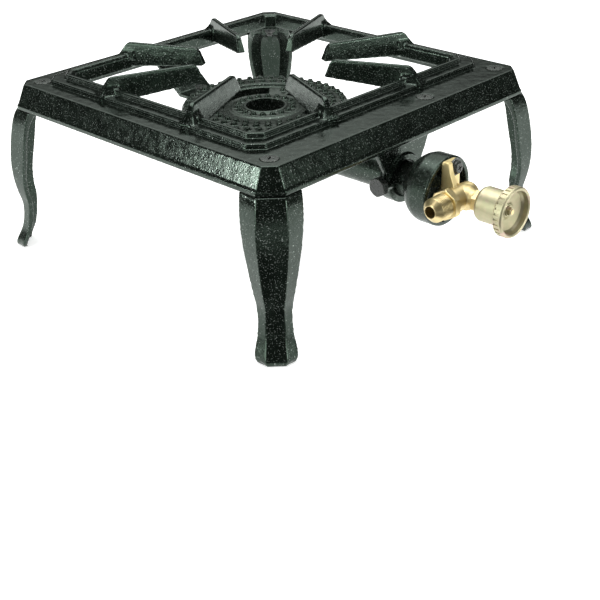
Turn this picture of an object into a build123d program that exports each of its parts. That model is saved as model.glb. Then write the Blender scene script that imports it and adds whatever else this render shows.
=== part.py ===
from build123d import *
import math
import os

os.makedirs("parts", exist_ok=True)

# Single-burner cast iron propane stand.
# Millimetres, +Z up, -Y is the valve side (front), -X is left.
# Parts are drawn about the floor point midway between the four feet, and the
# finished set is moved so that its origin is the floor point under the middle
# of the whole footprint, handwheel included.

# ------------------------------------------------------------ driving sizes
FRAME_TOP = 148.0        # flat outer band of the frame, above the floor
RIM_HALF = 150.0         # half width of the flat band
RIM_CORNER = 8.4         # corner cut of the flat band
WALL = 4.5               # casting thickness
BEAD_HALF = 158.2        # half width over the bead at the foot of the skirt
BEAD_CORNER = 15.0
BEAD_HEIGHT = 4.6
SKIRT_HEIGHT = 20.4
SKIRT_FLARE = 7.0        # how far the skirt leans out, top to bead

BURNER_Y = 6.0           # opening, supports and burner sit this far behind centre
STEP_HEIGHT = 4.0        # each of the two raised steps round the opening
STEP_1_HALF_X = 135.0
STEP_1_HALF_Y = 127.0
STEP_1_CORNER = 10.4
STEP_2_INSET = 9.2       # width of the lower tread
LIP_WIDTH = 3.5
LIP_BEVEL = 2.5

FINGER_TOP = 165.6       # pot rests at this height
FINGER_TIP_R = 57.0      # distance of the finger tips from the burner axis
FINGER_TOP_HALF = 1.7    # half thickness of the ridge
FINGER_BASE_HALF = 4.0

LEG_WALL = 4.4
SCREW_INSET = 135.0      # corner screw positions, from the centre in X and Y
SCREW_R = 3.1
SCREW_HEAD_R = 6.5
SCREW_HEAD_H = 3.4
SCREW_LENGTH = 20.0
FLANGE_T = 5.0           # pad of each leg under the frame
HANGER_SCREW_X = 39.0
HANGER_SCREW_Y = -136.0
STRAP_SCREW_Y = 141.5
NUT_AF = 10.0
NUT_H = 5.0
WASHER_T = 1.4

AXIS_Z = 94.2            # height of mixing tube, valve and handwheel axis
HEAD_R = 72.0            # burner head
AIR_HOLE_R = 16.5
TUBE_R = 13.6
TUBE_BORE_R = 10.0
BELL_R = 28.1
BELL_LENGTH = 17.0       # straight part of the bell
BELL_FRONT = -190.6
HANGER_Y = -144.8        # middle of the hanger plate
HANGER_T = 4.4

VALVE_Y = BELL_FRONT - 14.2        # inlet axis of the valve
FLARE_R = 9.525          # 3/4-16 flare thread
FLARE_LENGTH = 12.4      # threaded length with its lead-in
STEM_R = 4.0
WHEEL_R = 19.6
WHEEL_FRONT = VALVE_Y - 48.6       # foremost point of the stand
TOE_REACH = 231.5        # feet, from the centre along the diagonal
TOE_FACET = 7.8
FIT = 0.05               # radial running clearance

PLATE_UNDER = FRAME_TOP - WALL
SKIRT_BOTTOM = FRAME_TOP - SKIRT_HEIGHT
STEP_2_TOP = FRAME_TOP + 2 * STEP_HEIGHT
SEAT = PLATE_UNDER - 0.05          # parts hung under the frame start here
LEG_PAD_UNDER = SEAT - FLANGE_T
FOOTPRINT_BACK = (TOE_REACH + TOE_FACET) / math.sqrt(2)
FOOTPRINT_MID_Y = (FOOTPRINT_BACK + WHEEL_FRONT) / 2


# ------------------------------------------------------------ small helpers
def rod(start, direction, length, radius):
    """Cylinder from start, along direction."""
    plane = Plane(origin=start, z_dir=direction)
    return plane * Cylinder(radius, length, align=(Align.CENTER, Align.CENTER, Align.MIN))


def hex_rod(start, direction, length, across_flats):
    """Hexagonal prism from start, along direction."""
    plane = Plane(origin=start, z_dir=direction)
    outline = RegularPolygon(across_flats / 2, 6, major_radius=False)
    return plane * extrude(outline, length)


def cut_corner_plate(half_x, half_y, corner, y_mid=0.0):
    """Rectangle with its four corners cut at 45 degrees."""
    near_x, near_y = half_x - corner, half_y - corner
    points = []
    for sx, sy, x_first in ((1, 1, True), (-1, 1, False), (-1, -1, True), (1, -1, False)):
        on_side = (sx * half_x, sy * near_y + y_mid)
        on_end = (sx * near_x, sy * half_y + y_mid)
        points += [on_side, on_end] if x_first else [on_end, on_side]
    return make_face(Polyline(*points, close=True))


def tier(half_x, half_y, corner, low, high, y_mid=0.0):
    """Straight-sided plate with cut corners between two heights."""
    return Pos(0, 0, low) * extrude(cut_corner_plate(half_x, half_y, corner, y_mid), high - low)


def taper(low_size, low, high_size, high, y_mid=0.0):
    """Leaning-sided plate; each size is (half_x, half_y, corner)."""
    bottom = Pos(0, 0, low) * cut_corner_plate(*low_size, y_mid)
    top = Pos(0, 0, high) * cut_corner_plate(*high_size, y_mid)
    return loft([bottom, top])


def turned_z(points, centre=(0, 0, 0)):
    """Body of revolution about an upright axis from (radius, height) points."""
    face = Plane.XZ * make_face(Polyline(*points, close=True))
    return Pos(*centre) * revolve(face, Axis.Z)


def turned_y(points):
    """Body of revolution about the tube axis from (radius, y) points."""
    face = make_face(Polyline(*points, close=True))
    return Pos(0, 0, AXIS_Z) * revolve(face, Axis.Y)


def turned_x(points):
    """Body of revolution about the valve inlet axis from (x, radius) points."""
    face = make_face(Polyline(*points, close=True))
    return Pos(0, VALVE_Y, AXIS_Z) * revolve(face, Axis.X)


def cross_slot(depth, width=1.5, length=6.6):
    """Cross-head driver recess, cut down from z = 0."""
    blade = Box(length, width, depth, align=(Align.CENTER, Align.CENTER, Align.MAX))
    return blade + Rot(0, 0, 90) * blade


def countersunk_screw(x, y):
    """Flat-head screw, flush with the frame's flat band."""
    points = [
        (0, FRAME_TOP - SCREW_LENGTH), (SCREW_R - 0.6, FRAME_TOP - SCREW_LENGTH),
        (SCREW_R, FRAME_TOP - SCREW_LENGTH + 0.8), (SCREW_R, FRAME_TOP - SCREW_HEAD_H),
        (SCREW_HEAD_R, FRAME_TOP - 0.4), (SCREW_HEAD_R, FRAME_TOP), (0, FRAME_TOP + 0.3),
    ]
    screw = turned_z(points, (x, y, 0))
    return screw - Pos(x, y, FRAME_TOP + 0.4) * Rot(0, 0, 30) * cross_slot(2.4)


def countersunk_hole(x, y):
    """Clearance hole and cone for one flat-head screw."""
    hole_r = SCREW_R + 0.3
    head_r = SCREW_HEAD_R + 0.15
    points = [
        (0, PLATE_UNDER - 1), (hole_r, PLATE_UNDER - 1), (hole_r, FRAME_TOP - SCREW_HEAD_H),
        (head_r, FRAME_TOP - 0.45), (head_r, FRAME_TOP + 1), (0, FRAME_TOP + 1),
    ]
    return turned_z(points, (x, y, 0))


def hex_nut(x, y, top, hole_r=SCREW_R + FIT):
    """Hexagon nut whose upper face is at top."""
    nut = hex_rod((x, y, top), (0, 0, -1), NUT_H, NUT_AF)
    crown = turned_z([(0, top - NUT_H), (NUT_AF / 2, top - NUT_H), (NUT_AF / 2 + 0.9, top - NUT_H + 0.7),
                      (NUT_AF / 2 + 0.9, top), (0, top)], (x, y, 0))
    return (nut & crown) - rod((x, y, top + 1), (0, 0, -1), NUT_H + 2, hole_r)


def flat_washer(x, y, top, outer_r=6.2):
    """Washer whose upper face is at top."""
    ring = rod((x, y, top), (0, 0, -1), WASHER_T, outer_r)
    return ring - rod((x, y, top + 1), (0, 0, -1), WASHER_T + 2, SCREW_R + 0.25)


def corner_points(inset):
    return [(sx * inset, sy * inset) for sx in (-1, 1) for sy in (-1, 1)]


# ------------------------------------------------------------ top frame
def skirt_half(z):
    """Outer half width of the leaning skirt at height z."""
    lean_height = SKIRT_HEIGHT - BEAD_HEIGHT
    return RIM_HALF + SKIRT_FLARE * (FRAME_TOP - z) / lean_height


def skirt_corner(z):
    """Corner cut of the skirt at height z."""
    lean_height = SKIRT_HEIGHT - BEAD_HEIGHT
    return RIM_CORNER + (BEAD_CORNER - 1.0 - RIM_CORNER) * (FRAME_TOP - z) / lean_height


def inner_half(z):
    """Half width of the hollow under the frame at height z."""
    top, foot = skirt_half(PLATE_UNDER) - WALL, BEAD_HALF - WALL
    return foot + (top - foot) * (z - SKIRT_BOTTOM) / (PLATE_UNDER - SKIRT_BOTTOM)


def inner_corner(z):
    """Corner cut of the hollow under the frame at height z."""
    top, foot = skirt_corner(PLATE_UNDER) - 2.6, BEAD_CORNER - 2.6
    return foot + (top - foot) * (z - SKIRT_BOTTOM) / (PLATE_UNDER - SKIRT_BOTTOM)


def frame_shell():
    """Skirt, bead and flat band, hollow underneath."""
    bead_top = SKIRT_BOTTOM + BEAD_HEIGHT
    foot = (skirt_half(bead_top), skirt_half(bead_top), skirt_corner(bead_top))
    skirt = taper(foot, bead_top, (RIM_HALF, RIM_HALF, RIM_CORNER), FRAME_TOP)
    bead = tier(BEAD_HALF, BEAD_HALF, BEAD_CORNER, SKIRT_BOTTOM, bead_top)
    bead = chamfer(bead.edges().group_by(Axis.Z)[-1], 0.9)
    skirt = fillet(skirt.edges().group_by(Axis.Z)[-1], 1.3)
    low = (inner_half(SKIRT_BOTTOM), inner_half(SKIRT_BOTTOM), inner_corner(SKIRT_BOTTOM))
    high = (inner_half(PLATE_UNDER), inner_half(PLATE_UNDER), inner_corner(PLATE_UNDER))
    hollow = taper(low, SKIRT_BOTTOM, high, PLATE_UNDER)
    return skirt + bead - hollow


def frame_steps():
    """Two raised steps round the opening."""
    lower = tier(STEP_1_HALF_X, STEP_1_HALF_Y, STEP_1_CORNER,
                 PLATE_UNDER, FRAME_TOP + STEP_HEIGHT, BURNER_Y)
    lower = fillet(lower.edges().group_by(Axis.Z)[-1], 0.9)
    half_x, half_y = STEP_1_HALF_X - STEP_2_INSET, STEP_1_HALF_Y - STEP_2_INSET
    upper = tier(half_x, half_y, STEP_1_CORNER - 1.6, FRAME_TOP, STEP_2_TOP, BURNER_Y)
    upper = fillet(upper.edges().group_by(Axis.Z)[-1], 0.9)
    return lower + upper


def frame_opening():
    """Opening in the middle with a bevelled upper edge."""
    inset = STEP_2_INSET + LIP_WIDTH + LIP_BEVEL
    half_x, half_y = STEP_1_HALF_X - inset, STEP_1_HALF_Y - inset
    corner = STEP_1_CORNER - 3.4
    hole = tier(half_x, half_y, corner, PLATE_UNDER - 5, STEP_2_TOP + 1, BURNER_Y)
    wide = (half_x + LIP_BEVEL, half_y + LIP_BEVEL, corner + 1.2)
    bevel = taper((half_x, half_y, corner), STEP_2_TOP - LIP_BEVEL, wide, STEP_2_TOP, BURNER_Y)
    return hole + bevel


def step_relief():
    """Groove that thins the casting under the steps."""
    half_x, half_y = STEP_1_HALF_X - WALL, STEP_1_HALF_Y - WALL
    outer = tier(half_x, half_y, STEP_1_CORNER - 2, PLATE_UNDER - 1, FRAME_TOP - 0.5, BURNER_Y)
    core_x = STEP_1_HALF_X - STEP_2_INSET - 1.5
    core_y = STEP_1_HALF_Y - STEP_2_INSET - 1.5
    core = tier(core_x, core_y, STEP_1_CORNER - 3, PLATE_UNDER - 2, FRAME_TOP, BURNER_Y)
    return outer - core


def support_finger(angle, outer_r, root_r):
    """One pot support, pointing inwards along angle (degrees) from the burner axis."""
    tread = FRAME_TOP + STEP_HEIGHT
    root_z = PLATE_UNDER + 1.5
    tip_low = FINGER_TOP - 14.5
    rise = 11.0                       # run of the sloping outer end
    side = Polyline((outer_r, tread - 1.5), (outer_r - 1.0, tread + 0.5),
                    (outer_r - rise + 1.5, FINGER_TOP - 2.2))
    crest = ThreePointArc((outer_r - rise + 1.5, FINGER_TOP - 2.2),
                          (outer_r - rise - 0.8, FINGER_TOP - 0.6), (outer_r - rise - 3.5, FINGER_TOP))
    ridge = Line((outer_r - rise - 3.5, FINGER_TOP), (FINGER_TIP_R + 8, FINGER_TOP))
    nose = ThreePointArc((FINGER_TIP_R + 8, FINGER_TOP), (FINGER_TIP_R + 3.4, FINGER_TOP - 1.9),
                         (FINGER_TIP_R + 1.2, FINGER_TOP - 6))
    under = Polyline((FINGER_TIP_R + 1.2, FINGER_TOP - 6), (FINGER_TIP_R - 2, tip_low),
                     (FINGER_TIP_R - 0.6, tip_low - 0.6), (root_r, root_z), (root_r + 6, root_z),
                     (outer_r, tread - 1.5))
    profile = extrude(Plane.XZ * make_face(side + crest + ridge + nose + under), 12, both=True)

    half_low = FINGER_BASE_HALF + 0.8
    half_shoulder, half_crest = FINGER_TOP_HALF + 0.4, FINGER_TOP_HALF - 0.5
    shoulder_z, crest_z = FINGER_TOP - 1.0, FINGER_TOP + 0.01
    section = Polyline((-half_low, PLATE_UNDER), (half_low, PLATE_UNDER),
                       (half_shoulder, shoulder_z), (half_crest, crest_z),
                       (-half_crest, crest_z), (-half_shoulder, shoulder_z), close=True)
    bar = Plane.YZ * extrude(make_face(section), outer_r + 5)
    finger = profile & bar

    foot_low = Pos(outer_r - 9, 0, tread - 0.5) * Rectangle(19, 15)
    foot_high = Pos(outer_r - 13, 0, tread + 8.0) * Rectangle(9, 4.6)
    finger += loft([foot_low, foot_high])
    return Pos(0, BURNER_Y, 0) * Rot(0, 0, angle) * finger


def finger_places():
    """Angle, outer radius and root radius of the eight supports."""
    places = []
    for quarter in range(4):
        along_x = quarter % 2 == 0
        reach = STEP_1_HALF_X if along_x else STEP_1_HALF_Y
        opening = reach - STEP_2_INSET - LIP_WIDTH
        lean = 21.5 if along_x else 23.5
        for side in (-1, 1):
            slant = 1 / math.cos(math.radians(lean))
            places.append((quarter * 90 + side * lean, (reach + 0.5) * slant, (opening - 1) * slant))
    return places


def make_top_frame():
    frame = frame_shell() + frame_steps() - step_relief() - frame_opening()
    for angle, outer_r, root_r in finger_places():
        frame += support_finger(angle, outer_r, root_r)
    for x, y in corner_points(SCREW_INSET):
        frame -= countersunk_hole(x, y)
    frame -= countersunk_hole(HANGER_SCREW_X, HANGER_SCREW_Y)
    frame -= countersunk_hole(0, STRAP_SCREW_Y)
    return frame


# ------------------------------------------------------------ legs
# Height, reach of the outer face from the centre, half width of the middle
# facet, half width over the side facets, how far the side facets run back and
# the wall thickness, from the skirt to the floor.
LEG_STATIONS = [
    (SKIRT_BOTTOM - 0.02, 214.5, 10.2, 22.6, 13.4, 11.0),
    (121.0, 217.8, 10.8, 23.0, 13.6, 7.0),
    (112.0, 220.4, 11.2, 23.2, 13.6, LEG_WALL),
    (92.0, 224.2, 11.0, 21.8, 13.4, LEG_WALL),
    (70.0, 225.8, 9.4, 18.4, 11.2, LEG_WALL),
    (48.0, 222.8, 7.5, 14.6, 7.9, LEG_WALL),
    (32.0, 221.5, 6.8, 13.2, 6.4, LEG_WALL),
    (18.0, 224.6, 7.2, 14.4, 6.9, LEG_WALL),
    (8.0, 229.8, 7.8, 16.4, 8.2, LEG_WALL),
    (3.0, TOE_REACH, TOE_FACET, 15.8, 7.6, LEG_WALL),
    (0.0, 229.6, 6.8, 12.6, 5.4, LEG_WALL),
]


def leg_section(z, reach, facet, half_width, run_back, wall):
    """Three-sided angle section, open towards the centre of the stand."""
    back = reach - run_back
    slope = math.atan2(run_back, half_width - facet)
    nip_x, nip_y = wall * math.cos(slope), wall * math.sin(slope)
    inner_facet = facet - wall * math.tan(slope / 2)
    points = [
        (back, -half_width), (reach, -facet), (reach, facet), (back, half_width),
        (back - nip_x, half_width - nip_y), (reach - wall, inner_facet),
        (reach - wall, -inner_facet), (back - nip_x, nip_y - half_width),
    ]
    return Pos(0, 0, z) * make_face(Polyline(*points, close=True))


TONGUE_HALF_WIDTH = 20.6


def leg_tongue_station(z):
    """Section that follows the inside of the skirt at height z, with clearance."""
    clearance = 0.6
    half = inner_half(z) - clearance
    corner = inner_corner(z)
    reach = (2 * half - corner) / math.sqrt(2) - 0.2
    facet = half * math.sqrt(2) - reach
    return (z, reach, facet, TONGUE_HALF_WIDTH, TONGUE_HALF_WIDTH - facet, LEG_WALL)


def make_leg(quarter):
    """Cabriole leg with its bolting pad, turned to one corner of the frame."""
    shank = loft([leg_section(*station) for station in LEG_STATIONS])
    low = leg_tongue_station(SKIRT_BOTTOM - 3.0)
    high = leg_tongue_station(SEAT)
    tongue = loft([leg_section(*low), leg_section(*high)], ruled=True)

    reach, facet = high[1], high[2]
    wide = TONGUE_HALF_WIDTH
    pad_start = 174.0
    pad_outline = Polyline((pad_start, -wide), (reach - (wide - facet), -wide), (reach, -facet),
                           (reach, facet), (reach - (wide - facet), wide), (pad_start, wide), close=True)
    pad = Pos(0, 0, LEG_PAD_UNDER) * extrude(make_face(pad_outline), FLANGE_T)
    pad = fillet(pad.edges().filter_by(Axis.Z).sort_by(Axis.X)[:2], 5)

    rib_outline = Polyline((pad_start + 28, LEG_PAD_UNDER + 1), (reach + 2, LEG_PAD_UNDER + 1),
                           (reach + 8, 116), (reach + 1.5, 116), close=True)
    rib = extrude(Plane.XZ * make_face(rib_outline), 2.2, both=True)

    screw_reach = SCREW_INSET * math.sqrt(2)
    hole = rod((screw_reach, 0, SEAT + 1), (0, 0, -1), FLANGE_T + 2, SCREW_R + 0.4)
    leg = shank + tongue + pad + (rib & rib_limit()) - hole
    return Rot(0, 0, 45 + 90 * quarter) * leg


def rib_limit():
    """Space inside the outer faces of the leg where its stiffening rib may stand."""
    stations = [leg_tongue_station(SEAT), leg_tongue_station(SKIRT_BOTTOM), LEG_STATIONS[2]]
    faces = []
    for z, reach, facet, half_width, _, _ in stations:
        outline = Polyline((150, -half_width), (reach - 1, -facet), (reach - 1, facet), (150, half_width),
                           close=True)
        faces.append(Pos(0, 0, z) * make_face(outline))
    return loft(faces, ruled=True)


# ------------------------------------------------------------ burner
AIR_SLOTS = [(41.0, 95.0), (284.0, 90.0)]      # start and sweep, degrees
SLOT_IN_R, SLOT_OUT_R = 36.0, 50.0
HEAD_BOTTOM = 102.6
HEAD_DECK = 122.0
INNER_DECK = 119.2
CAVITY_TOP = 115.1
BOWL_BOTTOM = 80.0


def ring_sector(inner_r, outer_r, low, high, start, sweep):
    """Part of a ring about the burner axis, angles in degrees."""
    section = Rectangle(outer_r - inner_r, high - low)
    face = Plane.XZ * Pos((inner_r + outer_r) / 2, (low + high) / 2) * section
    return Pos(0, BURNER_Y, 0) * Rot(0, 0, start) * revolve(face, Axis.Z, sweep)


def burner_outside():
    """Outer form of the burner head: stepped deck above, bowl below."""
    points = [
        (0, BOWL_BOTTOM), (28, BOWL_BOTTOM), (46, BOWL_BOTTOM + 7), (HEAD_R - 6, HEAD_BOTTOM),
        (HEAD_R, HEAD_BOTTOM + 4), (HEAD_R, HEAD_DECK - 1.6), (HEAD_R - 1.6, HEAD_DECK),
        (SLOT_OUT_R + 3, HEAD_DECK), (SLOT_OUT_R + 1, INNER_DECK), (31, INNER_DECK - 1.2),
        (28.5, INNER_DECK), (AIR_HOLE_R + 3.6, INNER_DECK), (AIR_HOLE_R + 2.2, INNER_DECK + 1.4),
        (0, INNER_DECK + 1.4),
    ]
    return turned_z(points, (0, BURNER_Y, 0))


def burner_cavity():
    """Gas space inside the head, left solid round the air slots and centre hole."""
    sleeve_r = AIR_HOLE_R + 3.2
    points = [
        (sleeve_r, BOWL_BOTTOM + 4), (27, BOWL_BOTTOM + 4), (44.5, BOWL_BOTTOM + 10.5),
        (HEAD_R - 8, HEAD_BOTTOM + 2.5), (HEAD_R - 4, HEAD_BOTTOM + 5), (HEAD_R - 4, CAVITY_TOP + 2),
        (SLOT_OUT_R + 4, CAVITY_TOP + 2), (SLOT_OUT_R + 1, CAVITY_TOP), (sleeve_r, CAVITY_TOP),
    ]
    cavity = turned_z(points, (0, BURNER_Y, 0))
    for start, sweep in AIR_SLOTS:
        sleeve = ring_sector(SLOT_IN_R - 3, SLOT_OUT_R + 3, 70, 130, start - 5, sweep + 10)
        cavity -= sleeve
    return cavity


PORT_MARGIN = 9.0        # degrees kept clear beside an air slot

# Ring radius, deck height and number of flame ports of each row.
PORT_ROWS = [
    (67.4, HEAD_DECK, 44),
    (58.2, HEAD_DECK, 38),
    (44.6, INNER_DECK, 30),
    (24.0, INNER_DECK, 18),
]


def beside_slot(radius, degrees):
    """Whether a port at this place would fall into an air slot."""
    if not SLOT_IN_R - 4 < radius < SLOT_OUT_R + 4:
        return False
    turns = [((degrees - start + PORT_MARGIN) % 360, sweep) for start, sweep in AIR_SLOTS]
    return any(turn < sweep + 2 * PORT_MARGIN for turn, sweep in turns)


def burner_ports():
    """Raised flame ports and the drillings under them."""
    bosses, drillings = [], []
    for radius, deck, count in PORT_ROWS:
        for k in range(count):
            degrees = 360 * k / count
            if beside_slot(radius, degrees):
                continue
            angle = math.radians(degrees)
            x = radius * math.cos(angle)
            y = BURNER_Y + radius * math.sin(angle)
            boss = Cone(3.3, 2.0, 4.1, align=(Align.CENTER, Align.CENTER, Align.MIN))
            bosses.append(Pos(x, y, deck - 1.5) * boss)
            drillings.append(rod((x, y, CAVITY_TOP - 1), (0, 0, 1), 12, 1.0))
    return bosses, drillings


def mixing_tube():
    """Tube and bell in front of the head, outer form and bore."""
    shoulder = BELL_FRONT + BELL_LENGTH
    waist = shoulder + 15.0
    front_r, back_r = TUBE_R, TUBE_R + 1.6
    start, bore_start = BURNER_Y - 30, BURNER_Y - 44
    mouth_r = BELL_R - 4.2
    outer = make_face(
        Polyline((0, start), (back_r, start), (front_r, waist))
        + ThreePointArc((front_r, waist), (BELL_R - 8.0, waist - 4.5), (BELL_R - 1.2, shoulder + 2))
        + Polyline((BELL_R - 1.2, shoulder + 2), (BELL_R, shoulder - 2), (BELL_R, BELL_FRONT + 1),
                   (BELL_R - 1, BELL_FRONT), (0, BELL_FRONT), (0, start)))
    inner = make_face(
        Line((0, bore_start), (TUBE_BORE_R, bore_start))
        + Line((TUBE_BORE_R, bore_start), (TUBE_BORE_R, waist - 2))
        + ThreePointArc((TUBE_BORE_R, waist - 2), (BELL_R - 11.5, waist - 7.5), (mouth_r, shoulder - 5))
        + Polyline((mouth_r, shoulder - 5), (mouth_r, BELL_FRONT - 1), (0, BELL_FRONT - 1),
                   (0, bore_start)))
    place = Pos(0, 0, AXIS_Z)
    return place * revolve(outer, Axis.Y), place * revolve(inner, Axis.Y)


VALVE_SCREW_X = 2.8
VALVE_SCREW_Z = AXIS_Z + 20.4
VALVE_SCREW_R = 2.5


def bell_lug():
    """Lug inside the mouth of the bell that carries the valve."""
    low = AXIS_Z + 12.5
    depth = 13.0
    lug = Pos(0, BELL_FRONT, low) * Box(15, depth, BELL_R - 14, align=(Align.CENTER, Align.MIN, Align.MIN))
    return fillet(lug.edges().filter_by(Axis.Y).group_by(Axis.Z)[0], 3)


LUG_TOP = 111.8
STRAP_T = 3.6
STRAP_WIDTH = 36.0
STRAP_BOLT_Y = BURNER_Y + HEAD_R + 10.5


def rear_lug():
    """Ear behind the burner head for the support strap."""
    length = 31.0
    start = STRAP_BOLT_Y + 8.5 - length
    ear = Pos(0, start, LUG_TOP - 6) * Box(26, length, 6, align=(Align.CENTER, Align.MIN, Align.MIN))
    ear = fillet(ear.edges().filter_by(Axis.Z).group_by(Axis.Y)[-1], 6)
    return ear - ring_sector(0.1, HEAD_R - 4, LUG_TOP - 7, LUG_TOP + 1, 0, 360)


def make_burner():
    tube, bore = mixing_tube()
    cavity = burner_cavity()
    lug = bell_lug()
    casting = burner_outside() + tube + rear_lug()
    casting = casting - cavity - bore
    bosses, drillings = burner_ports()
    casting = casting + bosses
    casting = casting - drillings
    casting -= rod((0, BURNER_Y, 70), (0, 0, 1), 60, AIR_HOLE_R)
    for start, sweep in AIR_SLOTS:
        casting -= ring_sector(SLOT_IN_R, SLOT_OUT_R, 70, 130, start, sweep)
    casting += lug
    casting -= rod((VALVE_SCREW_X, BELL_FRONT - 1, VALVE_SCREW_Z), (0, 1, 0), 12, VALVE_SCREW_R + FIT)
    casting -= rod((0, STRAP_BOLT_Y, LUG_TOP + 1), (0, 0, -1), 10, SCREW_R + 0.3)
    return casting


# ------------------------------------------------------------ burner supports
def make_burner_hanger():
    """Bent plate under the front band of the frame with a collar round the tube."""
    left, right = -36.0, 49.0
    collar_r = 22.0
    front = HANGER_Y - HANGER_T / 2
    outline = make_face(Polyline(
        (left, SEAT), (right - 3, SEAT), (33, 126), (27, 112), (21, 101), (18.5, AXIS_Z - 8),
        (-18.5, AXIS_Z - 8), (-21, 103), (left + 4, 122), close=True))
    web = Pos(0, front + HANGER_T, 0) * extrude(Plane.XZ * outline, HANGER_T)
    collar = rod((0, front - 2.4, AXIS_Z), (0, 1, 0), HANGER_T + 6.4, collar_r - 2)
    web += collar
    ear = Pos((left + right) / 2, front, SEAT) * Box(right - left, 22, HANGER_T - 0.4,
                                                     align=(Align.CENTER, Align.MIN, Align.MAX))
    boss = rod((-collar_r - 2, HANGER_Y, AXIS_Z), (1, 0, 0), 10, 5.7)
    hanger = web + ear + boss
    hanger -= rod((0, front - 10, AXIS_Z), (0, 1, 0), 40, TUBE_R + 0.75)
    hanger -= rod((-50, HANGER_Y, AXIS_Z), (1, 0, 0), 45, CLAMP_R + FIT)
    hanger -= rod((HANGER_SCREW_X, HANGER_SCREW_Y, SEAT + 1), (0, 0, -1), 8, SCREW_R + 0.3)
    return hanger


CLAMP_R = 4.0
CLAMP_AF = 14.6


def make_clamp_bolt():
    """Hexagon bolt that pins the tube in the hanger's collar."""
    head_x = -30.5
    head = hex_rod((head_x, HANGER_Y, AXIS_Z), (1, 0, 0), 5.4, CLAMP_AF)
    dome = Pos(0, HANGER_Y, AXIS_Z) * revolve(make_face(Polyline(
        (head_x, 0), (head_x, CLAMP_AF / 2 - 0.4), (head_x + 1.2, CLAMP_AF / 2 + 1.0),
        (head_x + 5.4, CLAMP_AF / 2 + 1.0), (head_x + 5.4, 0), close=True)), Axis.X)
    shank = rod((head_x + 4, HANGER_Y, AXIS_Z), (1, 0, 0), -head_x - 4 - TUBE_R - 0.6, CLAMP_R)
    return (head & dome) + shank


def make_rear_strap():
    """Sloping strap from the burner's rear ear up to the back band of the frame."""
    top = SEAT - STRAP_T
    foot = LUG_TOP + 0.05
    bend_low, bend_high = STRAP_BOLT_Y + 8.5, 133.0
    start, end = STRAP_BOLT_Y - 8.9, 147.0
    outline = Polyline(
        (start, foot), (bend_low + 0.9, foot), (bend_high + 0.9, top), (end, top),
        (end, SEAT), (bend_high, SEAT), (bend_low, foot + STRAP_T), (start, foot + STRAP_T), close=True)
    strap = extrude(Plane.YZ * make_face(outline), STRAP_WIDTH / 2, both=True)
    strap = fillet(strap.edges().filter_by(Axis.Z), 3)
    strap -= rod((0, STRAP_SCREW_Y, SEAT + 1), (0, 0, -1), 8, SCREW_R + 0.3)
    strap -= rod((0, STRAP_BOLT_Y, LUG_TOP - 1), (0, 0, 1), 8, SCREW_R + 0.3)
    return strap


def make_strap_bolt():
    """Hexagon bolt through strap and burner ear."""
    under_head = LUG_TOP + 0.05 + STRAP_T
    head = hex_rod((0, STRAP_BOLT_Y, under_head), (0, 0, 1), 4.0, NUT_AF)
    return head + rod((0, STRAP_BOLT_Y, under_head + 1), (0, 0, -1), 17, SCREW_R)


# ------------------------------------------------------------ valve
BODY_R = 9.6
NECK_END = VALVE_Y - 12.5
SPIGOT_R = 6.4
BONNET_END = VALVE_Y - 27.0
TAB_T = 3.6
TAB_FRONT = BELL_FRONT - 0.05 - TAB_T


def mounting_tab():
    """Upright tab against the bell, with a thick rib up its left side."""
    low, high = AXIS_Z - 7, VALVE_SCREW_Z + 6.2
    left, right, rib_right = -9.0, 9.8, -4.2
    plate = make_face(Polyline((left, low), (right, low), (right, high), (left, high), close=True))
    plate = Pos(0, TAB_FRONT + TAB_T, 0) * extrude(Plane.XZ * plate, TAB_T)
    plate = fillet(plate.edges().filter_by(Axis.Y).group_by(Axis.Z)[-1].sort_by(Axis.X)[-1], 6.0)
    plate = fillet(plate.edges().filter_by(Axis.Y).group_by(Axis.Z)[-1].sort_by(Axis.X)[0], 2.5)
    rib = make_face(Polyline(
        (TAB_FRONT + 1, low + 2), (TAB_FRONT + 1, high + 1), (TAB_FRONT - 3.0, high),
        (TAB_FRONT - 4.2, high - 6), (VALVE_Y + 2, AXIS_Z + BODY_R - 0.6), (VALVE_Y, low + 2), close=True))
    rib = Pos(left, 0, 0) * extrude(Plane.YZ * rib, rib_right - left)
    return plate + fillet(rib.edges().filter_by(Axis.X).group_by(Axis.Z)[-1], 1.2)


def make_valve_body():
    """Brass angle body with a mounting tab, inlet to the left and stem to the front."""
    barrel = rod((-17, VALVE_Y, AXIS_Z), (1, 0, 0), 28, BODY_R)
    barrel = fillet(barrel.edges().group_by(Axis.X)[-1], 3.5)
    neck = turned_y([(0, VALVE_Y), (9.8, VALVE_Y), (9.8, VALVE_Y - 6), (7.9, NECK_END + 2.4),
                     (7.9, NECK_END), (0, NECK_END)])
    nose = turned_y([(0, VALVE_Y), (8.2, VALVE_Y), (8.2, BELL_FRONT - 0.8), (7.4, BELL_FRONT + 1.6),
                     (0, BELL_FRONT + 1.6)])
    body = barrel + neck + nose + mounting_tab()
    body -= rod((-18, VALVE_Y, AXIS_Z), (1, 0, 0), 9.2, SPIGOT_R + FIT)
    body -= rod((-10, VALVE_Y, AXIS_Z), (1, 0, 0), 12, 4.0)
    body -= rod((0, NECK_END - 1, AXIS_Z), (0, 1, 0), 7.5, 6.5 + FIT)
    body -= rod((0, NECK_END, AXIS_Z), (0, 1, 0), 14, STEM_R + 0.6)
    body -= rod((0, VALVE_Y, AXIS_Z), (0, 1, 0), 9, 1.6)
    body -= rod((0, BELL_FRONT - 5.4, AXIS_Z), (0, 1, 0), 8, 3.0 + FIT)
    body -= rod((VALVE_SCREW_X, BELL_FRONT + 1, VALVE_SCREW_Z), (0, -1, 0), 8, VALVE_SCREW_R + 0.3)
    return body


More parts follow.
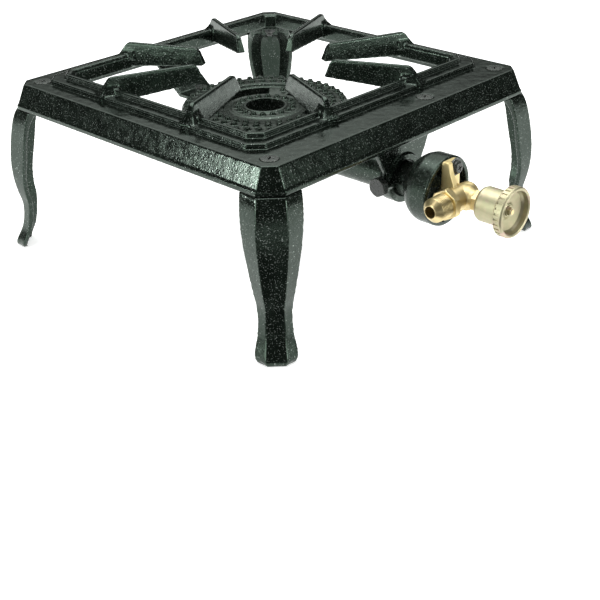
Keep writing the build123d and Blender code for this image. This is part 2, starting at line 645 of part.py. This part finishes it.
def make_inlet_flare():
    """Male 45 degree flare fitting screwed into the left side of the valve.

    The thread is drawn at its major diameter."""
    hex_start, thread_start, mouth = -17.05, -23.2, -40.2
    thread_end = thread_start - FLARE_LENGTH
    points = [
        (-9.4, 4.6), (-9.4, SPIGOT_R), (hex_start, SPIGOT_R), (hex_start, 8.3), (thread_start, 8.3),
        (thread_start - 0.6, FLARE_R), (thread_end, FLARE_R), (mouth + 0.6, 5.6), (mouth, 5.2),
        (mouth, 4.6),
    ]
    spigot = turned_x(points)
    flats = hex_rod((hex_start, VALVE_Y, AXIS_Z), (-1, 0, 0), 6.2, 22.0)
    rounding = turned_x([(hex_start, 0), (hex_start, 11.6), (hex_start - 1.0, 12.6),
                         (hex_start - 5.2, 12.6), (hex_start - 6.2, 11.6), (hex_start - 6.2, 0)])
    bore = rod((-60, VALVE_Y, AXIS_Z), (1, 0, 0), 60, 4.6)
    return spigot + ((flats & rounding) - bore)


def make_gas_orifice():
    """Drilled brass jet in the nose of the valve."""
    seat_y = BELL_FRONT + 1.7
    tip_y = seat_y + 4.0
    thread = rod((0, seat_y - 6.5, AXIS_Z), (0, 1, 0), 7, 3.0)
    flats = hex_rod((0, seat_y, AXIS_Z), (0, 1, 0), 4.0, 8.0)
    tip = turned_y([(0, tip_y - 0.1), (3.0, tip_y - 0.1), (1.6, tip_y + 2.3), (0, tip_y + 2.3)])
    return thread + flats + tip - rod((0, seat_y - 9, AXIS_Z), (0, 1, 0), 20, 0.6)


def make_bonnet_nut():
    """Guides the stem and closes the front of the valve body."""
    spigot = rod((0, NECK_END + 5.5, AXIS_Z), (0, -1, 0), 6, 6.5)
    flats = hex_rod((0, NECK_END - 0.05, AXIS_Z), (0, -1, 0), 6.0, 15.0)
    collar = rod((0, NECK_END - 5, AXIS_Z), (0, -1, 0), NECK_END - 5 - BONNET_END, 6.8)
    bonnet = spigot + flats + collar
    return bonnet - rod((0, NECK_END + 10, AXIS_Z), (0, -1, 0), 40, STEM_R + FIT)


RING_Y = VALVE_Y - 21.0
RING_MINOR = 0.6
GROOVE_R = 2.8
STEM_SHOULDER = WHEEL_FRONT + 9.4
SQUARE = 5.0


def make_valve_stem():
    """Needle stem with seal groove, square drive and threaded end."""
    half_groove = RING_MINOR + 0.15
    points = [
        (0, VALVE_Y + 6.6), (0.3, VALVE_Y + 6.6), (1.2, VALVE_Y + 3.0), (STEM_R, VALVE_Y - 3.5),
        (STEM_R, RING_Y + half_groove),
        (GROOVE_R, RING_Y + half_groove), (GROOVE_R, RING_Y - half_groove), (STEM_R, RING_Y - half_groove),
        (STEM_R, STEM_SHOULDER), (0, STEM_SHOULDER),
    ]
    stem = turned_y(points)
    drive = Pos(0, STEM_SHOULDER + 0.5, AXIS_Z) * Box(SQUARE, 1.7, SQUARE,
                                                      align=(Align.CENTER, Align.MAX, Align.CENTER))
    return stem + drive + rod((0, STEM_SHOULDER, AXIS_Z), (0, -1, 0), 6.2, 2.0)


def make_stem_ring():
    """Rubber ring that seals the stem in the bonnet."""
    centre_r = GROOVE_R + RING_MINOR + 0.02
    return Pos(0, RING_Y, AXIS_Z) * Rot(90, 0, 0) * Torus(centre_r, RING_MINOR)


HUB_R = 13.6
HUB_BACK = VALVE_Y - 18.6
BOSS_FRONT = WHEEL_FRONT + 6.8
RIM_BACK = WHEEL_FRONT + 8.2
GRIP_SLOTS = 30


def wheel_section():
    """Half section of the pressed wheel: hub cup, dished face and rolled rim."""
    sheet = 1.3
    face_back = STEM_SHOULDER - 0.05
    bore = SQUARE / 2 - 1.2
    hub_bore = HUB_R - sheet
    return Polyline(
        (bore, face_back), (hub_bore, face_back), (hub_bore, HUB_BACK - 3.2),
        (hub_bore - 1.6, HUB_BACK - 1.3), (hub_bore - 1.3, HUB_BACK), (HUB_R - 0.9, HUB_BACK - 0.8),
        (HUB_R, HUB_BACK - 2.8), (HUB_R, RIM_BACK + 1.6), (HUB_R + 1.0, RIM_BACK + 0.4),
        (WHEEL_R - 1.0, RIM_BACK), (WHEEL_R, RIM_BACK - 1.0), (WHEEL_R, WHEEL_FRONT + 1.4),
        (WHEEL_R - 0.7, WHEEL_FRONT + 0.3), (WHEEL_R - 1.7, WHEEL_FRONT),
        (WHEEL_R - 2.7, WHEEL_FRONT + 0.7), (WHEEL_R - 3.2, WHEEL_FRONT + 4.2),
        (WHEEL_R - 4.6, WHEEL_FRONT + 6.2),
        (HUB_R - 3.6, WHEEL_FRONT + 7.6), (7.4, WHEEL_FRONT + 8.0), (6.2, WHEEL_FRONT + 7.8),
        (4.9, BOSS_FRONT), (bore, BOSS_FRONT), close=True)


def make_handwheel():
    """Pressed wheel with grip slots round the rim and vents through the face."""
    wheel = Pos(0, 0, AXIS_Z) * revolve(make_face(wheel_section()), Axis.Y)
    wheel -= Pos(0, STEM_SHOULDER, AXIS_Z) * Box(SQUARE + 0.1, 8, SQUARE + 0.1)
    slot = Pos(WHEEL_R, (RIM_BACK + WHEEL_FRONT) / 2 + 0.5, 0) * Box(1.5, 4.2, 1.5)
    slots = [Pos(0, 0, AXIS_Z) * Rot(0, 360 * k / GRIP_SLOTS, 0) * slot for k in range(GRIP_SLOTS)]
    vents = []
    for k in range(3):
        angle = math.radians(90 + 120 * k)
        x, z = 8.8 * math.cos(angle), 8.8 * math.sin(angle)
        vents.append(rod((x, STEM_SHOULDER + 3, AXIS_Z + z), (0, -1, 0), 9, 0.9))
    return wheel - slots - vents


def make_wheel_washer():
    ring = rod((0, BOSS_FRONT - 0.02, AXIS_Z), (0, -1, 0), 0.9, 4.2)
    return ring - rod((0, BOSS_FRONT + 1, AXIS_Z), (0, -1, 0), 4, 2.0 + FIT)


def make_wheel_nut():
    start = BOSS_FRONT - 0.94
    nut = hex_rod((0, start, AXIS_Z), (0, -1, 0), 2.2, 6.0)
    return nut - rod((0, start + 1, AXIS_Z), (0, -1, 0), 6, 2.0 + FIT)


def make_valve_screw():
    """Black pan-head screw that holds the valve tab to the bell."""
    under_head = TAB_FRONT - 1.3 - 0.04
    head = Pos(VALVE_SCREW_X, 0, VALVE_SCREW_Z - AXIS_Z) * turned_y([
        (0, under_head), (5.3, under_head), (5.3, under_head - 1.8), (3.9, under_head - 3.4),
        (0, under_head - 3.8)])
    place = Pos(VALVE_SCREW_X, under_head - 4.0, VALVE_SCREW_Z) * Rot(90, 0, 0) * Rot(0, 0, 20)
    recess = place * cross_slot(2.4, 1.2, 5.0)
    return head + rod((VALVE_SCREW_X, under_head - 1, VALVE_SCREW_Z), (0, 1, 0), 15, VALVE_SCREW_R) - recess


def make_valve_washer():
    start = TAB_FRONT - 0.02
    ring = rod((VALVE_SCREW_X, start, VALVE_SCREW_Z), (0, -1, 0), 1.3, 6.8)
    return ring - rod((VALVE_SCREW_X, start + 1, VALVE_SCREW_Z), (0, -1, 0), 4, VALVE_SCREW_R + 0.25)


# ------------------------------------------------------------ assembly
def grouped(shapes):
    """Identical fasteners as one group of separate solids."""
    return Compound([solid for shape in shapes for solid in shape.solids()])


LEG_NAMES = ["leg_back_right", "leg_back_left", "leg_front_left", "leg_front_right"]

parts = {
    "top_frame": make_top_frame(),
    "corner_screws": grouped(countersunk_screw(x, y) for x, y in corner_points(SCREW_INSET)),
    "corner_washers": grouped(
        flat_washer(x, y, LEG_PAD_UNDER - 0.02) for x, y in corner_points(SCREW_INSET)),
    "corner_nuts": grouped(
        hex_nut(x, y, LEG_PAD_UNDER - 0.04 - WASHER_T) for x, y in corner_points(SCREW_INSET)),
    "burner_casting": make_burner(),
    "burner_hanger": make_burner_hanger(),
    "hanger_screw": countersunk_screw(HANGER_SCREW_X, HANGER_SCREW_Y),
    "hanger_nut": hex_nut(HANGER_SCREW_X, HANGER_SCREW_Y, SEAT - HANGER_T + 0.38),
    "clamp_bolt": make_clamp_bolt(),
    "rear_strap": make_rear_strap(),
    "strap_screw": countersunk_screw(0, STRAP_SCREW_Y),
    "strap_screw_nut": hex_nut(0, STRAP_SCREW_Y, SEAT - STRAP_T - 0.02),
    "strap_bolt": make_strap_bolt(),
    "strap_bolt_nut": hex_nut(0, STRAP_BOLT_Y, LUG_TOP - 6 - 0.02),
    "valve_body": make_valve_body(),
    "inlet_flare_fitting": make_inlet_flare(),
    "gas_orifice": make_gas_orifice(),
    "bonnet_nut": make_bonnet_nut(),
    "stem_seal_ring": make_stem_ring(),
    "valve_stem": make_valve_stem(),
    "handwheel": make_handwheel(),
    "wheel_washer": make_wheel_washer(),
    "wheel_nut": make_wheel_nut(),
    "valve_mount_screw": make_valve_screw(),
    "valve_mount_washer": make_valve_washer(),
}
for quarter, name in enumerate(LEG_NAMES):
    parts[name] = make_leg(quarter)

to_footprint = Pos(0, -FOOTPRINT_MID_Y, 0)
for name, shape in parts.items():
    export_step(to_footprint * shape, f"parts/{name}.step")
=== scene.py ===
import math

import bpy
from mathutils import Matrix, Quaternion, Vector


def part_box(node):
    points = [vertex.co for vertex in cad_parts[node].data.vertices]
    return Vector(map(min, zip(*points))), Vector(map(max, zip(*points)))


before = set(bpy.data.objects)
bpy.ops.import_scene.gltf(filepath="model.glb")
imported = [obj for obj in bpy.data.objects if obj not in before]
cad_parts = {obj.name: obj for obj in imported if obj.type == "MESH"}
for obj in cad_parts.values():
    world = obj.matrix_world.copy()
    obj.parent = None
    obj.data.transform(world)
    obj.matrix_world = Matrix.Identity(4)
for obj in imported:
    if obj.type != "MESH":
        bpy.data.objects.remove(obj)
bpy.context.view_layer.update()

# Looks for the propane burner stand: gloss-black cast iron, black screws, brass
# valve and yellow-zinc handwheel. Metres, +Z up, -Y is the valve side.

MM = 0.001

CAMERA_OFFSET = Vector((-0.6704, -0.6840, 0.4501))     # from the floor under the frame's middle
CAMERA_AZIMUTH = math.radians(-45.68)
CAMERA_ELEVATION = math.radians(28.48)
CAMERA_ROLL = math.radians(-1.52)
CAMERA_LENS = 69.98          # mm, on the default 36 mm sensor

# The inlet's thread, 16 turns to the inch, and the voxel it is cut at. The cut fades
# in between two radii, so that it leaves the drilled bore alone.
THREAD_PITCH = 25.4 / 16 * MM
THREAD_DEPTH = 0.75 * MM
THREAD_VOXEL = 0.22 * MM
THREAD_FADE = (7.5 * MM, 8.5 * MM)

CAST_EASE = 3                # smoothing passes over a casting's edges
CAST_SWELL = 0.12 * MM       # depth of a casting's unevenness
CAST_GRAIN = 7 * MM          # width of its lumps

# Lighter colour of the painted glint specks on the enamel.
PAINTED_GLINT_COLOUR = (0.30, 0.33, 0.31)
SKIRT_TO_TOP = (0.86, 0.97)  # upward share of the normal, from a leaning to a flat face
TOP_SHARE = 0.35             # how much of the skin and painted glint specks a flat face keeps

FLAG_PLACE = Vector((-0.56, -0.49, 0.002))             # from the floor under the middle
FLAG_SIZE = (1.3, 1.0, 1)

# Soft studio surround: azimuth and elevation of each glow in degrees, the angle at
# which it has faded out, the angle within which it is full, and its brightness.
GLOWS = [
    (47, 50, 37, 20, 1.1),
    (166, 14, 27, 12, 4.6),
    (-76, 12, 30, 14, 2.4),
]
SURROUND = 0.04
SURROUND_COLOUR = (0.93, 1.0, 0.94, 1)

# Square softboxes: name, place from the floor under the middle, side, and watts.
SOFTBOXES = [
    ("top", (0.1, 0.1, 2.0), 2.0, 45),
    ("left_glint", (-1.25, 0.75, 0.50), 0.2, 4),
    ("right_glint", (0.35, -1.45, 0.50), 0.2, 3),
]


# ------------------------------------------------------------ node helpers
class Graph:
    """A node tree built with short calls."""

    def __init__(self, tree):
        self.nodes = tree.nodes
        self.links = tree.links

    def add(self, kind, **settings):
        node = self.nodes.new(kind)
        for name, value in settings.items():
            setattr(node, name, value)
        return node

    def put(self, socket, value):
        """Links value into socket if it comes from a node, or sets it."""
        if isinstance(value, bpy.types.NodeSocket):
            self.links.new(value, socket)
        else:
            socket.default_value = value

    def calc(self, operation, first, second=0.0):
        node = self.add("ShaderNodeMath", operation=operation)
        self.put(node.inputs[0], first)
        self.put(node.inputs[1], second)
        return node.outputs[0]

    def span(self, value, start, end, low=0.0, high=1.0):
        """Maps value from start..end to low..high, clamped and smoothed."""
        node = self.add("ShaderNodeMapRange", interpolation_type="SMOOTHSTEP")
        for name, number in (("Value", value), ("From Min", start), ("From Max", end),
                             ("To Min", low), ("To Max", high)):
            self.put(node.inputs[name], number)
        return node.outputs[0]

    def radius(self, x, y):
        squares = self.calc("ADD", self.calc("MULTIPLY", x, x), self.calc("MULTIPLY", y, y))
        return self.calc("SQRT", squares)

    def split(self, vector):
        """The X, Y and Z of a vector."""
        node = self.add("ShaderNodeSeparateXYZ")
        self.put(node.inputs[0], vector)
        return node.outputs

    def join(self, x, y, z=0.0):
        node = self.add("ShaderNodeCombineXYZ")
        for socket, value in zip(node.inputs, (x, y, z)):
            self.put(socket, value)
        return node.outputs[0]


class Tree(Graph):
    """The shader nodes of one material."""

    def __init__(self, name):
        self.material = bpy.data.materials.new(name)
        self.material.use_nodes = True
        super().__init__(self.material.node_tree)
        self.shader = self.nodes["Principled BSDF"]
        self.place = self.add("ShaderNodeTexCoord").outputs["Object"]

    def set(self, name, value):
        self.put(self.shader.inputs[name], value)

    def noise(self, grain, detail=2.0, place=None):
        """Noise from 0 to 1 with lumps about grain metres across."""
        node = self.add("ShaderNodeTexNoise")
        node.inputs["Scale"].default_value = 1 / grain
        node.inputs["Detail"].default_value = detail
        self.put(node.inputs["Vector"], place or self.place)
        return node.outputs[0]

    def blend(self, share, first, second):
        """Colour that goes from first to second with share."""
        node = self.add("ShaderNodeMix", data_type="RGBA")
        self.put(node.inputs[0], share)
        for socket, colour in ((node.inputs[6], first), (node.inputs[7], second)):
            self.put(socket, colour if isinstance(colour, bpy.types.NodeSocket) else (*colour, 1))
        return node.outputs[2]

    def rounded(self, radius):
        """Normal that is eased over sharp edges, radius in metres."""
        node = self.add("ShaderNodeBevel", samples=6)
        node.inputs["Radius"].default_value = radius
        return node.outputs[0]

    def relief(self, height, depth, normal=None, strength=1.0):
        """Normal with height (0 to 1) standing depth metres proud."""
        node = self.add("ShaderNodeBump")
        self.put(node.inputs["Height"], height)
        self.put(node.inputs["Distance"], depth)
        self.put(node.inputs["Strength"], strength)
        if normal is not None:
            self.put(node.inputs["Normal"], normal)
        return node.outputs[0]

    def upward(self):
        """How far the surface faces up, -1 to 1."""
        return self.split(self.add("ShaderNodeNewGeometry").outputs["Normal"])[2]

    def edges(self, radius):
        """1 along sharp edges, 0 on open surfaces."""
        geometry = self.add("ShaderNodeNewGeometry")
        product = self.add("ShaderNodeVectorMath", operation="DOT_PRODUCT")
        self.put(product.inputs[0], self.rounded(radius))
        self.put(product.inputs[1], geometry.outputs["Normal"])
        return self.span(product.outputs["Value"], 0.995, 0.9)


# ------------------------------------------------------------ materials
def enamel_iron(name, gloss, peel, dark, light):
    """Black enamel over rough castings; peel is the depth of its orange-peel skin.

    The small lighter metallic specks are painted glints, fewer on flat faces, and sharp ridges get a
    painted edge highlight.
    """
    tree = Tree(name)
    cloud = tree.noise(14 * MM, 4)
    bumps = tree.noise(2.2 * MM, 3)
    grains = tree.noise(1.1 * MM, 2)
    flat = tree.span(tree.upward(), *SKIRT_TO_TOP)
    amount = tree.span(flat, 0, 1, 1.0, TOP_SHARE)
    # Painted glints: lighter metallic specks where the fine grain peaks, fewer on flat faces.
    painted_glints = tree.calc("MULTIPLY", tree.span(grains, 0.60, 0.76), amount)
    pointiness = tree.add("ShaderNodeNewGeometry").outputs["Pointiness"]
    # Painted highlight along sharp ridges, found by pointiness.
    painted_edge_highlight = tree.span(pointiness, 0.54, 0.64, 0.0, 0.30)
    painted_glints = tree.calc("MAXIMUM", painted_glints, painted_edge_highlight)
    enamel = tree.blend(tree.span(cloud, 0.35, 0.7), dark, light)
    # Base colour and metallic carry the painted glints and painted edge highlight.
    tree.set("Base Color", tree.blend(painted_glints, enamel, PAINTED_GLINT_COLOUR))
    tree.set("Metallic", painted_glints)
    tree.set("Specular Tint", (0.74, 1.0, 0.82, 1))
    tree.set("Roughness", tree.span(tree.noise(6 * MM, 4), 0.3, 0.7, gloss, gloss + 0.12))
    tree.set("IOR", 1.5)
    skin = tree.relief(bumps, peel, strength=amount)
    tree.set("Normal", tree.relief(grains, 0.5 * peel, skin, amount))
    return tree.material


def black_steel():
    """Blackened screws and nuts, lighter and more metallic in patches along the edges."""
    tree = Tree("black_steel_look")
    # Lighter, more metallic colour in patches along sharp edges.
    lighter_edges = tree.calc("MULTIPLY", tree.edges(0.45 * MM), tree.span(tree.noise(1.5 * MM), 0.3, 0.55))
    tree.set("Base Color", tree.blend(lighter_edges, (0.03, 0.034, 0.031), (0.35, 0.36, 0.34)))
    tree.set("Roughness", tree.span(tree.noise(2 * MM, 3), 0.3, 0.7, 0.22, 0.38))
    tree.set("Metallic", tree.calc("MULTIPLY", lighter_edges, 0.6))
    tree.set("Normal", tree.relief(tree.noise(0.7 * MM), 0.03 * MM, tree.rounded(0.3 * MM)))
    return tree.material


def brass(name, roughness, grain_depth):
    """Bare brass with a faint brown stain and a fine grain."""
    tree = Tree(name)
    stain = tree.span(tree.noise(7 * MM, 3), 0.4, 0.85)
    tree.set("Base Color", tree.blend(stain, (0.74, 0.60, 0.32), (0.64, 0.51, 0.25)))
    tree.set("Metallic", 1.0)
    tree.set("Roughness", tree.span(tree.noise(1.6 * MM, 3), 0.3, 0.7, roughness, roughness + 0.1))
    tree.set("Normal", tree.relief(tree.noise(0.8 * MM, 2), grain_depth, tree.rounded(0.25 * MM)))
    return tree.material


def yellow_zinc(axis_z):
    """Yellow-passivated zinc, brushed round the wheel, with the pink and green of its film."""
    tree = Tree("yellow_zinc_look")
    x, y, z = tree.split(tree.place)
    radius = tree.radius(x, tree.calc("SUBTRACT", z, axis_z))
    facing = tree.add("ShaderNodeLayerWeight").outputs["Facing"]
    film = tree.calc("ADD", tree.noise(9 * MM, 2), tree.calc("MULTIPLY", facing, 0.3))
    straw = tree.blend(tree.span(film, 0.4, 0.62), (0.56, 0.49, 0.34), (0.50, 0.47, 0.31))
    tree.set("Base Color", tree.blend(tree.span(film, 0.62, 0.85), straw, (0.58, 0.44, 0.36)))
    tree.set("Metallic", 1.0)
    tree.set("Roughness", tree.span(tree.noise(3 * MM, 3), 0.3, 0.7, 0.44, 0.54))
    lines = tree.noise(0.4 * MM, 2, tree.join(radius, y))
    tree.set("Normal", tree.relief(lines, 0.015 * MM, tree.rounded(0.3 * MM)))
    return tree.material


def seal_rubber():
    """Dull black rubber."""
    tree = Tree("seal_rubber_look")
    shade = tree.blend(tree.noise(1 * MM), (0.015, 0.015, 0.015), (0.03, 0.03, 0.03))
    tree.set("Base Color", shade)
    tree.set("Roughness", tree.span(tree.noise(0.5 * MM), 0.2, 0.8, 0.5, 0.7))
    tree.set("Normal", tree.relief(tree.noise(0.3 * MM), 0.02 * MM))
    return tree.material


# ------------------------------------------------------------ geometry
def remeshed(node, voxel, ease):
    """Gives a piece an even, fine mesh with its sharp edges eased in ease passes."""
    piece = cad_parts[node]
    remesh = piece.modifiers.new("even_mesh", "REMESH")
    remesh.mode = "VOXEL"
    remesh.voxel_size = voxel
    remesh.use_smooth_shade = True
    smooth = piece.modifiers.new("eased_edges", "SMOOTH")
    smooth.factor = 0.5
    smooth.iterations = ease
    return piece


def cast_surface(node, voxel):
    """Rounds a casting's edges and gives it a slightly uneven skin."""
    piece = remeshed(node, voxel, CAST_EASE)
    texture = bpy.data.textures.new(f"{node}_skin", "CLOUDS")
    texture.noise_scale = CAST_GRAIN
    texture.noise_depth = 1
    displace = piece.modifiers.new("cast_skin", "DISPLACE")
    displace.texture = texture
    displace.texture_coords = "LOCAL"
    displace.strength = CAST_SWELL
    displace.mid_level = 1.0


def cut_thread(node, start, end):
    """Cuts a screw thread round a piece along X, start and end as shares of its length."""
    piece = remeshed(node, THREAD_VOXEL, 2)
    low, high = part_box(node)
    middle = (low + high) / 2
    group = bpy.data.node_groups.new("thread", "GeometryNodeTree")
    group.is_modifier = True
    group.interface.new_socket("Geometry", in_out="INPUT", socket_type="NodeSocketGeometry")
    group.interface.new_socket("Geometry", in_out="OUTPUT", socket_type="NodeSocketGeometry")
    graph = Graph(group)
    x, y, z = graph.split(graph.add("GeometryNodeInputPosition").outputs[0])
    y = graph.calc("SUBTRACT", y, middle.y)
    z = graph.calc("SUBTRACT", z, middle.z)
    radius = graph.radius(y, z)
    turn = graph.calc("DIVIDE", graph.calc("ARCTAN2", z, y), 2 * math.pi)
    turns = graph.calc("ADD", graph.calc("DIVIDE", x, THREAD_PITCH), turn)
    groove = graph.calc("PINGPONG", turns, 0.5)
    depth = graph.span(groove, 0.1, 0.4, 0.0, -THREAD_DEPTH)
    length = high.x - low.x
    first = low.x + start * length
    last = low.x + end * length
    begun = graph.span(x, first, first + MM)
    not_over = graph.span(x, last - MM, last, 1.0, 0.0)
    here = graph.calc("MULTIPLY", begun, not_over)
    outside = graph.span(radius, *THREAD_FADE)
    cut = graph.calc("MULTIPLY", graph.calc("MULTIPLY", here, outside), depth)
    scale = graph.calc("DIVIDE", cut, radius)
    offset = graph.join(0.0, graph.calc("MULTIPLY", y, scale), graph.calc("MULTIPLY", z, scale))
    move = graph.add("GeometryNodeSetPosition")
    graph.put(move.inputs["Offset"], offset)
    graph.put(move.inputs["Geometry"], graph.add("NodeGroupInput").outputs[0])
    graph.put(graph.add("NodeGroupOutput").inputs[0], move.outputs[0])
    piece.modifiers.new("thread", "NODES").node_group = group


def dress(material, *nodes):
    """Gives each node the material, in place of any it came with."""
    for node in nodes:
        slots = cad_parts[node].data.materials
        slots.clear()
        slots.append(material)


# ------------------------------------------------------------ stage
def make_floor():
    """Pale floor, lit a little from within so that it clips to white."""
    bpy.ops.mesh.primitive_plane_add(size=12)
    floor = bpy.context.object
    floor.name = "floor"
    tree = Tree("floor_look")
    tree.set("Base Color", (0.92, 0.92, 0.92, 1))
    tree.set("Roughness", 0.9)
    tree.set("Emission Color", (1, 1, 1, 1))
    tree.set("Emission Strength", 0.65)
    floor.data.materials.append(tree.material)


def make_flag(middle):
    """Dark card on the camera's side, seen only in reflections."""
    bpy.ops.mesh.primitive_plane_add(size=1)
    flag = bpy.context.object
    flag.name = "flag"
    flag.scale = FLAG_SIZE
    flag.rotation_euler = (0, 0, CAMERA_AZIMUTH)
    flag.location = middle + FLAG_PLACE
    tree = Tree("flag_look")
    tree.set("Base Color", (0.02, 0.02, 0.02, 1))
    flag.data.materials.append(tree.material)
    flag.visible_camera = False
    flag.visible_diffuse = False
    flag.visible_shadow = False


def add_softbox(name, offset, target, side, power):
    """Square area light, offset from the target it faces."""
    light = bpy.data.lights.new(name, "AREA")
    light.shape = "RECTANGLE"
    light.size = side
    light.size_y = side
    light.energy = power
    holder = bpy.data.objects.new(name, light)
    bpy.context.scene.collection.objects.link(holder)
    place = target + Vector(offset)
    holder.location = place
    holder.rotation_euler = (target - place).to_track_quat("-Z", "Y").to_euler()


def heading(azimuth, elevation):
    """Unit vector for a direction in degrees, azimuth from +X towards +Y."""
    turn, rise = math.radians(azimuth), math.radians(elevation)
    return Vector((math.cos(turn) * math.cos(rise), math.sin(turn) * math.cos(rise), math.sin(rise)))


def make_world():
    """Dim surround with the soft glows that the enamel mirrors."""
    world = bpy.data.worlds.new("studio")
    bpy.context.scene.world = world
    world.use_nodes = True
    graph = Graph(world.node_tree)
    direction = graph.add("ShaderNodeTexCoord").outputs["Generated"]
    total = SURROUND
    for azimuth, elevation, faded, full, brightness in GLOWS:
        near = graph.add("ShaderNodeVectorMath", operation="DOT_PRODUCT")
        graph.put(near.inputs[0], direction)
        graph.put(near.inputs[1], heading(azimuth, elevation))
        glow = graph.span(near.outputs["Value"], math.cos(math.radians(faded)),
                          math.cos(math.radians(full)), 0.0, brightness)
        total = graph.calc("ADD", glow, total)
    graph.put(graph.nodes["Background"].inputs["Strength"], total)
    graph.nodes["Background"].inputs["Color"].default_value = SURROUND_COLOUR


def make_camera(middle):
    """Camera at the photo's angle, rolled slightly as the photo is."""
    camera = bpy.data.cameras.new("camera")
    camera.lens = CAMERA_LENS
    holder = bpy.data.objects.new("camera", camera)
    bpy.context.scene.collection.objects.link(holder)
    back = Vector((
        math.sin(CAMERA_AZIMUTH) * math.cos(CAMERA_ELEVATION),
        -math.cos(CAMERA_AZIMUTH) * math.cos(CAMERA_ELEVATION),
        math.sin(CAMERA_ELEVATION)))
    turn = (-back).to_track_quat("-Z", "Y") @ Quaternion((0, 0, 1), CAMERA_ROLL)
    holder.matrix_world = Matrix.Translation(middle + CAMERA_OFFSET) @ turn.to_matrix().to_4x4()
    bpy.context.scene.camera = holder


# ------------------------------------------------------------ build
LEGS = ["leg_front_left", "leg_front_right", "leg_back_left", "leg_back_right"]
for node in ["top_frame", *LEGS]:
    cast_surface(node, voxel=0.7 * MM)
for node in ["burner_casting", "burner_hanger", "rear_strap"]:
    cast_surface(node, voxel=0.6 * MM)
remeshed("valve_body", voxel=0.3 * MM, ease=4)
cut_thread("inlet_flare_fitting", start=0.14, end=0.56)

frame_enamel = enamel_iron("frame_enamel", gloss=0.10, peel=0.09 * MM,
                           dark=(0.002, 0.003, 0.0022), light=(0.005, 0.007, 0.0055))
burner_enamel = enamel_iron("burner_enamel", gloss=0.20, peel=0.14 * MM,
                            dark=(0.003, 0.004, 0.003), light=(0.009, 0.011, 0.009))
dress(frame_enamel, "top_frame", *LEGS, "burner_hanger", "rear_strap")
dress(burner_enamel, "burner_casting")
dress(black_steel(), "corner_screws", "corner_washers", "corner_nuts", "hanger_screw", "hanger_nut",
      "clamp_bolt", "strap_screw", "strap_screw_nut", "strap_bolt", "strap_bolt_nut",
      "valve_mount_screw", "valve_mount_washer")
dress(brass("forged_brass", roughness=0.42, grain_depth=0.02 * MM), "valve_body", "bonnet_nut")
dress(brass("turned_brass", roughness=0.30, grain_depth=0.01 * MM),
      "inlet_flare_fitting", "gas_orifice", "valve_stem")
wheel_low, wheel_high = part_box("handwheel")
dress(yellow_zinc((wheel_low.z + wheel_high.z) / 2), "handwheel", "wheel_washer", "wheel_nut")
dress(seal_rubber(), "stem_seal_ring")

frame_low, frame_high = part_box("top_frame")
middle = Vector((frame_low.x + frame_high.x, frame_low.y + frame_high.y, 0)) / 2
make_floor()
make_flag(middle)
make_world()
for name, offset, side, power in SOFTBOXES:
    add_softbox(name, offset, middle, side, power)
make_camera(middle)
bpy.context.scene.view_settings.view_transform = "Standard"
